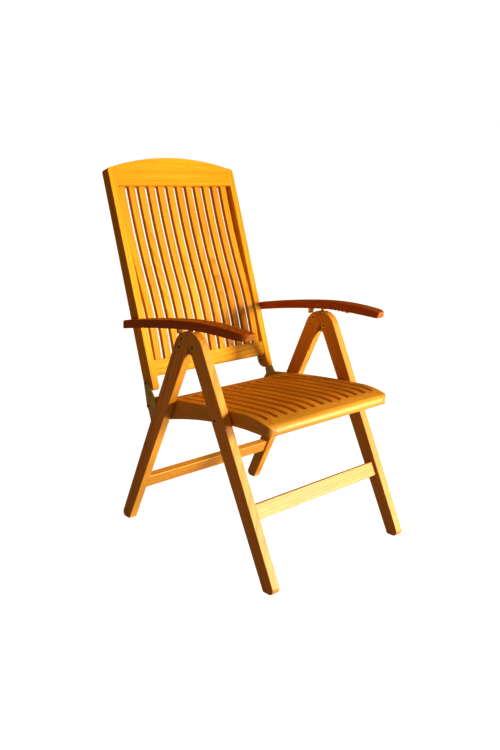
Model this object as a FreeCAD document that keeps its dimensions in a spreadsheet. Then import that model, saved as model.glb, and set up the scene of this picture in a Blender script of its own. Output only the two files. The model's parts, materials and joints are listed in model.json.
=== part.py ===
import FreeCAD, Part
import math
import os
import Sketcher
from FreeCAD import Placement, Rotation, Vector

# Folding reclining armchair of oiled hardwood with brass fittings, in millimetres.
# X runs across the chair (+X is the sitter's left), the chair faces -Y and +Z is up.
# Side-view places (depth y, height z) are measured from a datum line on the floor, midway between
# the front and rear feet; datum_y then shifts the whole chair so that its box is centred on the origin.

DIMENSIONS = [
    ("datum_y", -87.057, "shift of the side-view datum along Y"),
    ("slip", 0.3, "free gap between faces that move past each other"),
    ("running", 0.05, "radial clearance of a running pivot"),
    ("ease", 2.5, "rounding of the long edges of the frame members"),
    ("overcut", 5, "how far a cutting outline runs past the material"),
    ("through", 1200, "length of a cut that goes right through"),
    ("slat_ease", 1.8, "rounding of the long edges of the slats"),
    # A-frame legs
    ("leg_inner", 256.1, "centre plane to the inner face of a leg"),
    ("leg_thickness", 27.6, "thickness of a leg"),
    ("arch_y", 37.4, "depth of the centre of the round leg tops"),
    ("arch_z", 572.5, "height of the centre of the round leg tops"),
    ("arch_radius", 60, "radius of the round leg tops"),
    ("butt_gap", 1.2, "gap between the two leg tops where they stop against each other"),
    ("crotch_z", 591, "height of the crotch below the butted leg tops"),
    ("front_lean", 27.5, "lean of the front edge of a front leg"),
    ("rear_lean", 21.4, "lean of the back edge of a rear leg"),
    ("front_foot", 44, "length of a front foot on the floor, before rounding"),
    ("rear_foot", 38.8, "length of a rear foot on the floor, before rounding"),
    ("toe_radius", 14, "rounding of the outer corner of a foot"),
    ("heel_radius", 4, "rounding of the inner corner of a foot"),
    # pivots, side-view places
    ("hinge_y", 22, "leg hinge bolt, depth"),
    ("hinge_z", 590, "leg hinge bolt, height"),
    ("upper_rivet_y", 66.6, "upper hinge-plate screw, depth"),
    ("upper_rivet_z", 608.3, "upper hinge-plate screw, height"),
    ("lower_rivet_y", 75.6, "lower hinge-plate screw, depth"),
    ("lower_rivet_z", 583.5, "lower hinge-plate screw, height"),
    ("catch_y", 37.4, "catch pin, depth"),
    ("catch_z", 638.4, "catch pin, height"),
    ("seat_pivot_y", -76.5, "seat bolt on the front leg, depth"),
    ("seat_pivot_z", 412.7, "seat bolt on the front leg, height"),
    ("link_seat_y", 237.8, "link-plate pin in the seat rail, depth"),
    ("link_seat_z", 368.5, "link-plate pin in the seat rail, height"),
    ("link_leg_y", 212.8, "link-plate bolt on the rear leg, depth"),
    ("link_leg_z", 264.6, "link-plate bolt on the rear leg, height"),
    ("back_pivot_y", 253, "backrest bolt on the link plate, depth"),
    ("back_pivot_z", 434, "backrest bolt on the link plate, height"),
    # fasteners
    ("bolt_radius", 4, "pivot bolt sleeve"),
    ("bolt_head", 7.5, "pivot bolt head radius"),
    ("rivet_radius", 3, "hinge-plate screw sleeve"),
    ("rivet_head", 6.2, "hinge-plate screw head radius"),
    ("head_depth", 1.2, "thickness of a flat screw head"),
    ("counterbore", 1.5, "depth of the recess around a head"),
    ("screw_share", 0.62, "screw radius over sleeve radius"),
    ("screw_reach", 0.8, "share of a barrel bolt's grip that its screw's shank fills"),
    ("socket_floor", 1, "metal left under a socket in a sleeve"),
    ("socket_radius", 2.6, "corner radius of the hexagon socket"),
    ("socket_depth", 2.2, "depth of the hexagon socket"),
    # hinge plates and catch pins
    ("plate_thickness", 4, "hinge plate in the leg tops"),
    ("slot_width", 4.6, "saw slot for the hinge plate"),
    ("slot_radius", 30.5, "round end of the slot about the leg hinge"),
    ("slot_room", 3, "room around the hinge plate in the slot of a rear leg"),
    ("plate_nose", 12, "hinge plate in front of the leg hinge"),
    ("plate_drop", 25, "hinge plate below the leg hinge"),
    ("plate_margin", 9, "margin of the hinge plate around its screws"),
    ("plate_corner", 3, "rounding of the corners of the hinge plate"),
    ("horn_half", 6, "half the width of the hinge plate at the catch pin"),
    ("horn_rise", 5, "hinge plate above the catch pin"),
    ("horn_drop", 18, "catch pin above the wide part of the hinge plate"),
    ("catch_radius", 4, "catch pin"),
    ("catch_length", 15, "catch pin, along X"),
    # stretchers between the legs
    ("stretcher_depth", 42, "width of a stretcher board along the leg"),
    ("stretcher_thickness", 20, "thickness of a stretcher board"),
    ("front_stretcher_z", 173, "lower front edge of the front stretcher, height"),
    ("rear_stretcher_z", 108, "lower front edge of the rear stretcher, height"),
    ("front_setback", 10, "front stretcher behind the front edge of the leg"),
    ("rear_setback", 6, "rear stretcher behind the front edge of the leg"),
    # seat frame
    ("seat_outer", 250.5, "centre plane to the outer face of a seat rail"),
    ("seat_rail_width", 25, "width of a seat side rail"),
    ("seat_arc_y", -371.3, "centre of the long seat curve, depth"),
    ("seat_arc_radius", 3500, "radius of the long seat curve"),
    ("crest_arc_y", -165.6, "centre of the front crest curve, depth"),
    ("crest_arc_z", 193.9, "centre of the front crest curve, height"),
    ("crest_arc_radius", 250, "radius of the front crest curve"),
    ("nose_y", -231, "where the crest curve meets the rounded nose"),
    ("nose_under_y", -243, "lower end of the rounded nose, depth"),
    ("nose_under_z", 404.6, "lower end of the rounded nose, height"),
    ("nose_radius", 19, "rounding of the seat's front edge"),
    ("seat_end_y", 221, "centre of the round rear end of a seat rail, depth"),
    ("seat_end_z", 371, "centre of the round rear end of a seat rail, height"),
    ("seat_end_radius", 30.8, "radius of the round rear end of a seat rail"),
    ("seat_end_set", 7, "where the round rear end starts, in front of its centre"),
    ("belly_front_y", -160, "front end of the curved lower edge, depth"),
    ("belly_rear_y", 148, "rear end of the curved lower edge, depth"),
    ("belly_rear_z", 350, "rear end of the curved lower edge, height"),
    ("belly_radius", 1290, "radius of the lower edge of a seat rail"),
    ("nose_reach", 4.2, "bulge of the nose in front of its lower end"),
    ("nose_side_radius", 20, "rounding of the outer front corner of a seat rail, in plan"),
    ("front_rail_rear_y", -209, "back face of the front seat rail"),
    ("rear_rail_front_y", 130, "front face of the rear seat rail"),
    ("rear_rail_rear_y", 158, "back face of the rear seat rail"),
    ("rear_rail_depth", 26, "height of the rear seat rail"),
    # slats
    ("slat_width", 24.6, "width of a slat"),
    ("slat_pitch", 37.1, "slat to slat"),
    ("slat_count", 12, "slats in the seat and in the back"),
    ("seat_slat_thickness", 11, "thickness of a seat slat"),
    ("back_slat_thickness", 12.5, "thickness of a back slat"),
    ("tenon", 10, "length of a slat end inside its rail"),
    # backrest, measured along and square to the front plane of the back, from the back pivot
    ("recline", 20.5, "lean of the backrest at rest"),
    ("pivot_inset", 24, "back pivot behind the front plane of the back"),
    ("back_outer", 250.5, "centre plane to the outer face of a stile"),
    ("stile_width", 24.4, "width of a stile"),
    ("stile_foot", 25, "stile below the back pivot"),
    ("stile_foot_depth", 41, "depth of a stile at its foot"),
    ("stile_top_depth", 31, "depth of a stile at its top"),
    ("stile_top", 648, "height at which the stile blank is cut"),
    ("heel_round", 27, "rounding of a stile's rear lower corner"),
    ("shin_round", 10, "rounding of a stile's front lower corner"),
    ("crown_height", 669, "top of the arched top rail"),
    ("crown_radius", 905, "radius of the arched top"),
    ("corner_radius", 15, "rounding of the outer top corners"),
    ("top_rail_low", 582, "lower edge of the top rail"),
    ("top_rail_depth", 31, "thickness of the top back rail"),
    ("bottom_rail_depth", 24.4, "thickness of the bottom back rail"),
    ("bottom_rail_inset", 2, "bottom rail behind the front plane of the back"),
    ("bottom_rail_low", 15, "lower edge of the bottom rail"),
    ("bottom_rail_high", 61, "upper edge of the bottom rail"),
    ("bottom_rail_round", 10, "rounding of the lower front edge of the bottom rail"),
    ("lumbar_depth", 0.6, "front plane to the slats at the lumbar bulge"),
    ("lumbar_radius", 1200, "radius of the lumbar bulge"),
    ("lumbar_height", 177, "height of the lumbar bulge"),
    ("slat_turn", 292, "height where the bulge turns into the shoulder hollow"),
    ("hollow_radius", 2035, "radius of the shoulder hollow"),
    # arms
    ("arm_inner", 253, "centre plane to the inner face of an arm"),
    ("arm_width", 53, "width of the blank that an arm is cut from"),
    ("arm_pivot_height", 177.5, "arm bolt above the back pivot, along the back"),
    ("arm_pivot_inset", 9.5, "arm bolt behind the front plane of the back"),
    ("arm_rear_y", 312, "rear end of an arm"),
    ("arm_break_y", 60, "where the two arm curves meet"),
    ("arm_tip_y", -188, "upper edge of the arm tip"),
    ("arm_tip_under_y", -178, "lower edge of the arm tip"),
    ("arm_tip_under_z", 647, "underside height at the arm tip"),
    ("arm_thickness", 23.7, "thickness of an arm"),
    ("arm_rear_arc_y", -368.1, "centre of the rear arm curve, depth"),
    ("arm_rear_arc_z", -2409.2, "centre of the rear arm curve, height"),
    ("arm_rear_radius", 3100, "radius of the rear arm curve"),
    ("arm_front_arc_y", -83.6, "centre of the front arm curve, depth"),
    ("arm_front_arc_z", -369, "centre of the front arm curve, height"),
    ("arm_front_radius", 1040, "radius of the front arm curve"),
    ("arm_rear_width", 41, "width of an arm at its rear end"),
    ("arm_shoulder_y", -155, "where the outer edge turns into the rounded tip"),
    ("arm_shoulder_width", 46, "width of an arm where the tip rounding starts"),
    ("arm_side_radius", 3300, "bow of the outer edge of an arm"),
    ("arm_tip_radius", 38, "rounding of the outer corner of an arm tip in plan"),
    ("arm_nose_radius", 8, "rounding of the inner corner of an arm tip in plan"),
    ("arm_tip_width", 13, "inner face of an arm to the start of the outer rounding"),
    ("arm_ease", 4, "rounding of the edges of an arm"),
    ("arm_bolt_depth", 24, "arm bolt inside the arm"),
    # notched rack under each arm
    ("rack_width", 18, "width of the rack"),
    ("rack_thickness", 6.2, "thickness of the rack"),
    ("rack_roof", 1.2, "brass left above the channel"),
    ("rack_channel", 5.4, "width of the channel along the rack"),
    ("rack_front_y", -68, "front end of the rack"),
    ("rack_rear_y", 62, "rear end of the rack, where the stop lug starts"),
    ("notch_count", 7, "positions of the backrest"),
    ("notch_angle", 5, "backrest lean from one position to the next"),
    ("arm_share", 0.74, "how far an arm turns back as the backrest leans, as a share"),
    ("notch_play", 0.4, "free play around the catch pin in a notch"),
    ("lug_rear_y", 92, "rear face of the stop lug"),
    ("lug_low_z", 617.5, "lower end of the stop lug"),
    ("lug_thickness", 5, "thickness of the stop lug"),
    ("lug_brace", 6, "slanted brace in front of the stop lug"),
    # link plates
    ("link_gap", 0.9, "gap between the link plate and the wood inside it"),
    ("link_thickness", 3, "thickness of a link plate"),
    ("link_eye", 10.5, "margin of a link plate around its holes"),
    ("link_waist", 200, "radius of the hollow rear edge of a link plate below the seat pin"),
    ("link_belly_y", 194.6, "lower corner of the front edge of a link plate, depth"),
    ("link_belly_z", 342.3, "lower corner of the front edge of a link plate, height"),
    ("link_brow_y", 211.6, "upper corner of the front edge of a link plate, depth"),
    ("link_brow_z", 398, "upper corner of the front edge of a link plate, height"),
]

# The seat's long curve runs into its crest curve without a kink: the centres lie in line with the joint.
CURVE_GAP = "(dims.seat_arc_radius - dims.crest_arc_radius)"
CURVE_RUN = "(dims.crest_arc_y - dims.seat_arc_y)"
SEAT_ARC_Z = f"(dims.crest_arc_z - sqrt({CURVE_GAP} ^ 2 - {CURVE_RUN} ^ 2))"
CREST_BREAK_Y = f"(dims.crest_arc_y + {CURVE_RUN} * dims.crest_arc_radius / {CURVE_GAP})"
ABOVE_LEGS = "dims.arch_z + dims.arch_radius + dims.overcut"
# Lengths in mm that tell a piece's edges apart when some of them are rounded.
FLAT_EDGE = 0.01
SHORT_EDGE = 30
LONG_EDGE = 400
CREST_ZONE = 20
CROWN_ZONE = 40
# The rack's teeth just clear the catch pin while the arm slides over it.
TOOTH_Z = "(dims.catch_z + dims.catch_radius + dims.slip)"
RACK_TOP = f"({TOOTH_Z} + dims.rack_thickness)"

doc = FreeCAD.newDocument("folding_chair")
sheet = doc.addObject("Spreadsheet::Sheet", "dims")
for row, (alias, number, note) in enumerate(DIMENSIONS, start=1):
    sheet.set(f"A{row}", alias)
    sheet.set(f"B{row}", str(number))
    sheet.set(f"C{row}", note)
    sheet.setAlias(f"B{row}", alias)
doc.recompute()

subparts = []


def value(expression):
    """Number that an expression on the sheet's cells gives."""
    return float(sheet.evalExpression(str(expression)))


def keep(item, label):
    """Register a finished sub-part under the name of its file."""
    item.Label = label
    subparts.append(item)
    return item


def pair(item, label):
    """Register a left-hand sub-part and its mirror image on the right of the chair."""
    mirrored = doc.addObject("Part::Mirroring", label + "_mirror")
    mirrored.Source = item
    mirrored.Normal = Vector(1, 0, 0)
    keep(item, label + "_left")
    return keep(mirrored, label + "_right")


def place(item, across="0", depth="0", height="0", lean=None):
    """Put an item at a side-view place, leaning back about X."""
    angle = value(lean) if lean else 0
    item.Placement = Placement(Vector(), Rotation(Vector(-1, 0, 0), angle))
    item.setExpression("Placement.Base.x", str(across))
    item.setExpression("Placement.Base.y", f"{depth} + dims.datum_y")
    item.setExpression("Placement.Base.z", str(height))
    if lean:
        item.setExpression("Placement.Rotation.Angle", lean)
    return item


# ---------------------------------------------------------------- sketches and features

def new_body(name):
    return doc.addObject("PartDesign::Body", name)


def new_sketch(body, plane, lift=None):
    """Empty sketch on one of the body's origin planes, lifted along its normal."""
    sketch = body.newObject("Sketcher::SketchObject", body.Name + "_sketch")
    origin_plane = [item for item in body.Origin.OriginFeatures if item.Role == plane][0]
    sketch.AttachmentSupport = (origin_plane, [""])
    sketch.MapMode = "FlatFace"
    if lift:
        sketch.setExpression("AttachmentOffset.Base.z", lift)
    return sketch


def fix_point(sketch, curve, end, across, up):
    """Tie one point of a curve to a place given by two expressions."""
    for kind, expression in (("DistanceX", across), ("DistanceY", up)):
        index = sketch.addConstraint(
            Sketcher.Constraint(kind, -1, 1, curve, end, value(expression)))
        sketch.setExpression(f"Constraints[{index}]", str(expression))


def fix_radius(sketch, curve, radius):
    index = sketch.addConstraint(Sketcher.Constraint("Radius", curve, value(radius)))
    sketch.setExpression(f"Constraints[{index}]", str(radius))


def outline(body, plane, path, lift=None):
    """Closed outline. Each corner is (across, up) or (across, up, side, radius): the stretch that
    starts there is straight, or an arc that bulges to the left or right of the way along it."""
    sketch = new_sketch(body, plane, lift)
    corners = [Vector(value(step[0]), value(step[1]), 0) for step in path]
    starts = []
    for index, step in enumerate(path):
        begin = corners[index]
        finish = corners[(index + 1) % len(path)]
        if len(step) == 2:
            sketch.addGeometry(Part.LineSegment(begin, finish))
            starts.append(1)
            continue
        chord = finish - begin
        left = Vector(-chord.y, chord.x, 0).normalize()
        radius = value(step[3])
        bulge = radius - math.sqrt(radius ** 2 - (chord.Length / 2) ** 2)
        turn = 1 if step[2] == "left" else -1
        sketch.addGeometry(Part.Arc(begin, begin + chord / 2 + left * (bulge * turn), finish))
        starts.append(2 if turn == 1 else 1)
    for index, step in enumerate(path):
        following = (index + 1) % len(path)
        sketch.addConstraint(Sketcher.Constraint(
            "Coincident", index, 3 - starts[index], following, starts[following]))
    for index, step in enumerate(path):
        fix_point(sketch, index, starts[index], step[0], step[1])
        if len(step) == 4:
            fix_radius(sketch, index, step[3])
    return sketch


def rounds(body, plane, circles, lift=None):
    """Sketch of circles, each (across, up, radius)."""
    sketch = new_sketch(body, plane, lift)
    for index, (across, up, radius) in enumerate(circles):
        centre = Vector(value(across), value(up), 0)
        sketch.addGeometry(Part.Circle(centre, Vector(0, 0, 1), value(radius)))
        fix_point(sketch, index, 3, across, up)
        fix_radius(sketch, index, radius)
    return sketch


def pad(body, sketch, length, reverse=False):
    feature = body.newObject("PartDesign::Pad", body.Name + "_pad")
    feature.Profile = sketch
    feature.Reversed = reverse
    feature.setExpression("Length", str(length))
    doc.recompute()
    return feature


def pocket(body, sketch, length, symmetric=False, reverse=False):
    """Cut a sketch into the body and make sure that it took material away."""
    before = body.Shape.Volume
    feature = body.newObject("PartDesign::Pocket", body.Name + "_pocket")
    feature.Profile = sketch
    feature.SideType = "Symmetric" if symmetric else "One side"
    feature.Reversed = reverse
    feature.setExpression("Length", str(length))
    doc.recompute()
    if not 1 < body.Shape.Volume < before - 1:
        raise RuntimeError(f"a pocket in {body.Name} cuts nothing or everything")
    return feature


def fillet(body, radius, wanted):
    """Round the edges of the body that a test picks."""
    base = body.Tip
    names = [f"Edge{number}" for number, edge in enumerate(base.Shape.Edges, start=1)
             if wanted(edge)]
    feature = body.newObject("PartDesign::Fillet", body.Name + "_fillet")
    feature.Base = (base, names)
    feature.setExpression("Radius", str(radius))
    doc.recompute()
    whole = base.Shape.Volume
    if not feature.Shape.isValid() or not 0.9 * whole < feature.Shape.Volume < whole:
        raise RuntimeError(f"a fillet in {body.Name} fails")
    return feature


def across_edge(edge):
    """True for an edge that runs along X."""
    return edge.BoundBox.YLength < FLAT_EDGE and edge.BoundBox.ZLength < FLAT_EDGE


def near(edge, depth, height, reach=1.0):
    """True for an edge that runs along X near a side-view place."""
    box = edge.BoundBox
    offset = math.hypot(box.Center.y - value(depth), box.Center.z - value(height))
    return across_edge(edge) and offset < reach


def side_edge(edge):
    """True for an edge of the outline of a flat side face, square to X."""
    return edge.BoundBox.XLength < FLAT_EDGE


# ---------------------------------------------------------------- legs, stretchers, hinge plates

def circle_height(centre_y, centre_z, radius, depth):
    """Height of the top of a circle at a depth."""
    return f"({centre_z} + sqrt({radius} ^ 2 - ({depth} - {centre_y}) ^ 2))"


def leg_outline(front):
    """Side view of a leg: butt face, round top, straight outer edge, foot, inner edge."""
    if front:
        away, lean, foot, bulge = "-", "dims.front_lean", "dims.front_foot", "left"
    else:
        away, lean, foot, bulge = "+", "dims.rear_lean", "dims.rear_foot", "right"
    butt_y = f"dims.arch_y {away} dims.butt_gap / 2"
    top_z = circle_height("dims.arch_y", "dims.arch_z", "dims.arch_radius", f"({butt_y})")
    shoulder_y = f"dims.arch_y {away} dims.arch_radius * cos({lean})"
    shoulder_z = f"(dims.arch_z + dims.arch_radius * sin({lean}))"
    toe_y = f"{shoulder_y} {away} {shoulder_z} * tan({lean})"
    back = "+" if front else "-"
    path = [
        (butt_y, "dims.crotch_z"),
        (butt_y, top_z, "right" if front else "left", "dims.arch_radius"),
        (shoulder_y, shoulder_z),
        (toe_y, "0"),
        (f"{toe_y} {back} {foot}", "0"),
    ]
    return path, toe_y, f"{toe_y} {back} {foot}"


def bolt_hole(body, depth, height, hole, recess):
    """Hole through a leg with a recess for a screw head on both faces."""
    pocket(body, rounds(body, "YZ_Plane", [(depth, height, hole)]),
           "dims.leg_thickness * 3", symmetric=True)
    for lift, reverse in (("0", True), ("dims.leg_thickness", False)):
        pocket(body, rounds(body, "YZ_Plane", [(depth, height, recess)], lift),
               "dims.counterbore", reverse=reverse)


def leg(name, front):
    body = new_body(name)
    path, toe_y, heel_y = leg_outline(front)
    pad(body, outline(body, "YZ_Plane", path), "dims.leg_thickness")
    fillet(body, "dims.toe_radius", lambda edge: near(edge, toe_y, "0"))
    fillet(body, "dims.heel_radius", lambda edge: near(edge, heel_y, "0"))
    butt = value("dims.arch_y")
    fillet(body, "dims.ease",
           lambda edge: side_edge(edge) and abs(edge.BoundBox.Center.y - butt) > 1)
    middle = "dims.leg_thickness / 2"
    if front:
        slot = outline(body, "YZ_Plane", [
            ("dims.hinge_y", ABOVE_LEGS),
            ("dims.hinge_y - dims.slot_radius / 2", "dims.hinge_z"),
            ("dims.arch_y + dims.overcut", "dims.hinge_z"),
            ("dims.arch_y + dims.overcut", ABOVE_LEGS)], middle)
        pocket(body, slot, "dims.slot_width", symmetric=True)
        sweep = rounds(body, "YZ_Plane", [("dims.hinge_y", "dims.hinge_z", "dims.slot_radius")],
                       middle)
        pocket(body, sweep, "dims.slot_width", symmetric=True)
        holes = [("dims.hinge_y", "dims.hinge_z", "bolt"),
                 ("dims.seat_pivot_y", "dims.seat_pivot_z", "bolt")]
    else:
        low = "dims.hinge_z - dims.plate_drop - dims.slip"
        around = "dims.plate_margin + dims.slot_room"
        slot = outline(body, "YZ_Plane", [
            ("dims.arch_y - dims.overcut", ABOVE_LEGS),
            ("dims.arch_y - dims.overcut", low),
            (f"dims.lower_rivet_y - ({around})", low),
            (f"dims.lower_rivet_y + {around}", f"dims.lower_rivet_z - ({around})"),
            (f"dims.lower_rivet_y + {around}", "dims.lower_rivet_z + dims.plate_margin"),
            (f"dims.upper_rivet_y + {around}", "dims.upper_rivet_z + dims.slot_room * 2"),
            (f"dims.arch_y + {around}", ABOVE_LEGS)], middle)
        pocket(body, slot, "dims.slot_width", symmetric=True)
        holes = [("dims.upper_rivet_y", "dims.upper_rivet_z", "rivet"),
                 ("dims.lower_rivet_y", "dims.lower_rivet_z", "rivet"),
                 ("dims.link_leg_y", "dims.link_leg_z", "bolt")]
    for depth, height, kind in holes:
        bolt_hole(body, depth, height, f"dims.{kind}_radius", f"dims.{kind}_head + dims.slip")
    return pair(place(body, "dims.leg_inner"), name)


def hinge_plate(name):
    """Brass plate in the leg slots: it turns with the rear leg and carries the catch pin."""
    body = new_body(name)
    low = "dims.hinge_z - dims.plate_drop"
    margin = "dims.plate_margin"
    horn_front = "dims.catch_y - dims.horn_half"
    horn_rear = "dims.catch_y + dims.horn_half"
    horn_top = "dims.catch_z + dims.horn_rise"
    pad(body, outline(body, "YZ_Plane", [
        ("dims.hinge_y - dims.plate_nose", f"dims.hinge_z - {margin}"),
        (f"dims.arch_y - {margin}", low),
        ("dims.arch_y", low),
        (f"dims.lower_rivet_y - {margin}", f"dims.lower_rivet_z - {margin}"),
        (f"dims.lower_rivet_y + {margin}", f"dims.lower_rivet_z - {margin}"),
        (f"dims.lower_rivet_y + {margin}", f"dims.lower_rivet_z + {margin}"),
        (f"dims.upper_rivet_y + {margin}", f"dims.upper_rivet_z + {margin}"),
        (horn_rear, f"dims.upper_rivet_z + {margin} * 2"),
        (horn_rear, horn_top),
        (horn_front, horn_top),
        (horn_front, "dims.catch_z - dims.horn_drop"),
        ("dims.hinge_y - dims.plate_nose", f"dims.hinge_z + {margin}")]), "dims.plate_thickness")
    fillet(body, "dims.plate_corner", across_edge)
    pocket(body, rounds(body, "YZ_Plane", [
        ("dims.hinge_y", "dims.hinge_z", "dims.bolt_radius + dims.running"),
        ("dims.upper_rivet_y", "dims.upper_rivet_z", "dims.rivet_radius"),
        ("dims.lower_rivet_y", "dims.lower_rivet_z", "dims.rivet_radius"),
        ("dims.catch_y", "dims.catch_z", "dims.catch_radius")]),
        "dims.plate_thickness * 3", symmetric=True)
    centre = "dims.leg_inner + dims.leg_thickness / 2 - dims.plate_thickness / 2"
    return pair(place(body, centre), name)


def stretcher(name, front):
    """Board between two legs, parallel to their outer edge."""
    body = new_body(name)
    pad(body, outline(body, "YZ_Plane", [
        ("0", "0"),
        ("0", "dims.stretcher_depth"),
        ("dims.stretcher_thickness", "dims.stretcher_depth"),
        ("dims.stretcher_thickness", "0")]), "dims.leg_inner * 2")
    fillet(body, "dims.ease", across_edge)
    if front:
        toe = leg_outline(True)[1]
        lean = "dims.front_lean"
        edge = f"{toe} + dims.front_stretcher_z * tan(dims.front_lean)"
        low = f"{edge} + dims.front_setback / cos(dims.front_lean)"
        place(body, "-dims.leg_inner", low, "dims.front_stretcher_z", lean)
    else:
        heel = leg_outline(False)[2]
        slope = f"({heel} - dims.arch_y) / dims.crotch_z"
        low = f"{heel} - dims.rear_stretcher_z * {slope} + dims.rear_setback"
        place(body, "-dims.leg_inner", low, "dims.rear_stretcher_z", "-dims.rear_lean")
    return keep(body, name)


# ---------------------------------------------------------------- fasteners

def solid_cylinder(radius, length, start="0"):
    """Cylinder along X."""
    item = doc.addObject("Part::Cylinder", "cylinder")
    item.Placement = Placement(Vector(), Rotation(Vector(0, 1, 0), 90))
    item.setExpression("Radius", str(radius))
    item.setExpression("Height", str(length))
    item.setExpression("Placement.Base.x", str(start))
    return item


def cut(base, tool):
    item = doc.addObject("Part::Cut", "cut")
    item.Base = base
    item.Tool = tool
    return item


def fuse(first, second):
    item = doc.addObject("Part::Fuse", "fuse")
    item.Base = first
    item.Tool = second
    item.Refine = True
    return item


def socket(start):
    """Hexagon socket along X."""
    item = doc.addObject("Part::Prism", "socket")
    item.Polygon = 6
    item.Placement = Placement(Vector(), Rotation(Vector(0, 1, 0), 90))
    item.setExpression("Circumradius", "dims.socket_radius")
    item.setExpression("Height", "dims.socket_depth")
    item.setExpression("Placement.Base.x", start)
    return item


def barrel_bolt(grip, radius, head):
    """Screw in a sleeve nut, both with flat heads: grip is the distance between the heads."""
    thread = f"{radius} * dims.screw_share"
    sleeve = fuse(solid_cylinder(head, "dims.head_depth", "-dims.head_depth"),
                  solid_cylinder(radius, f"{grip} - dims.slip"))
    bore = solid_cylinder(f"{thread} + dims.running", f"{grip}", "dims.socket_depth + dims.socket_floor")
    sleeve = cut(cut(sleeve, bore), socket("-dims.head_depth"))
    shank = solid_cylinder(thread, f"{grip} * dims.screw_reach",
                           f"{grip} * (1 - dims.screw_reach)")
    screw = fuse(shank, solid_cylinder(head, "dims.head_depth", grip))
    screw = cut(screw, socket(f"{grip} + dims.head_depth - dims.socket_depth"))
    return [sleeve, screw]


def on_side(items, side, across, depth, height):
    """Group of solids built along +X, placed on one side of the chair with +X outwards."""
    group = doc.addObject("Part::Compound", "group")
    group.Links = items
    turn = 0 if side > 0 else 180
    group.Placement = Placement(Vector(), Rotation(Vector(0, 0, 1), turn))
    group.setExpression("Placement.Base.x", across if side > 0 else f"-({across})")
    group.setExpression("Placement.Base.y", f"{depth} + dims.datum_y")
    group.setExpression("Placement.Base.z", height)
    return group


def both_sides(name, make, spots):
    """One node that holds the same fastener at each spot, on the left and right of the chair."""
    groups = []
    for across, depth, height in spots:
        for side in (1, -1):
            groups.append(on_side(make(), side, across, depth, height))
    node = doc.addObject("Part::Compound", name)
    node.Links = groups
    return keep(node, name)


def washer(hole, rim, thickness):
    return [cut(solid_cylinder(rim, thickness),
                solid_cylinder(hole, f"{thickness} + 2 * dims.overcut", "-dims.overcut"))]


def fasteners():
    leg_grip = "(dims.leg_thickness - 2 * dims.counterbore)"
    leg_start = "dims.leg_inner + dims.counterbore"
    both_sides("hinge_bolts",
               lambda: barrel_bolt(leg_grip, "dims.bolt_radius", "dims.bolt_head"),
               [(leg_start, "dims.hinge_y", "dims.hinge_z")])
    both_sides("hinge_plate_screws",
               lambda: barrel_bolt(leg_grip, "dims.rivet_radius", "dims.rivet_head"),
               [(leg_start, "dims.upper_rivet_y", "dims.upper_rivet_z"),
                (leg_start, "dims.lower_rivet_y", "dims.lower_rivet_z")])
    both_sides("link_leg_bolts",
               lambda: barrel_bolt(leg_grip, "dims.bolt_radius", "dims.bolt_head"),
               [(leg_start, "dims.link_leg_y", "dims.link_leg_z")])
    both_sides("catch_pins",
               lambda: [solid_cylinder("dims.catch_radius", "dims.catch_length")],
               [("dims.leg_inner + (dims.leg_thickness - dims.catch_length) / 2",
                 "dims.catch_y", "dims.catch_z")])
    rail_inner = "dims.seat_outer - dims.seat_rail_width - dims.slip"
    seat_grip = (f"(dims.leg_inner + dims.leg_thickness - dims.counterbore - ({rail_inner}))")
    both_sides("seat_pivot_bolts",
               lambda: barrel_bolt(seat_grip, "dims.bolt_radius", "dims.bolt_head"),
               [(rail_inner, "dims.seat_pivot_y", "dims.seat_pivot_z")])
    both_sides("seat_pivot_washers",
               lambda: washer("dims.bolt_radius", "dims.bolt_head + 2",
                              "dims.leg_inner - dims.seat_outer - dims.slip"),
               [("dims.seat_outer + dims.slip", "dims.seat_pivot_y", "dims.seat_pivot_z")])
    plate_outer = "(dims.seat_outer + dims.link_gap + dims.link_thickness)"
    both_sides("link_seat_pins",
               lambda: barrel_bolt(f"({plate_outer} - ({rail_inner}))", "dims.bolt_radius",
                                   "dims.bolt_head"),
               [(rail_inner, "dims.link_seat_y", "dims.link_seat_z")])
    stile_inner = "dims.back_outer - dims.stile_width - dims.slip"
    both_sides("back_pivot_bolts",
               lambda: barrel_bolt(f"({plate_outer} + dims.slip / 2 - ({stile_inner}))",
                                   "dims.bolt_radius", "dims.bolt_head"),
               [(stile_inner, "dims.back_pivot_y", "dims.back_pivot_z")])
    # Arm bolts: a flat head on the inner face of the stile and a plain shank that ends in the arm.
    arm_y, arm_z = back_place("dims.arm_pivot_inset", "dims.arm_pivot_height")
    length = f"(dims.arm_inner + dims.arm_bolt_depth - ({stile_inner}))"
    both_sides("arm_bolts",
               lambda: [cut(fuse(solid_cylinder("dims.bolt_head", "dims.head_depth",
                                                "-dims.head_depth"),
                                 solid_cylinder("dims.bolt_radius", length)),
                            socket("-dims.head_depth"))],
               [(stile_inner, arm_y, arm_z)])
    gap = "(dims.arm_inner - dims.back_outer)"
    both_sides("arm_washers",
               lambda: washer("dims.bolt_radius + dims.running", "dims.bolt_head",
                              f"{gap} - 2 * dims.slip"),
               [("dims.back_outer + dims.slip", arm_y, arm_z)])


# ---------------------------------------------------------------- link plates

def rim(depth, height, angle):
    """Point of the round margin about a hole of a link plate, at an angle up from the rear."""
    return (f"{depth} + dims.link_eye * cos({angle})", f"{height} + dims.link_eye * sin({angle})")


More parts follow.
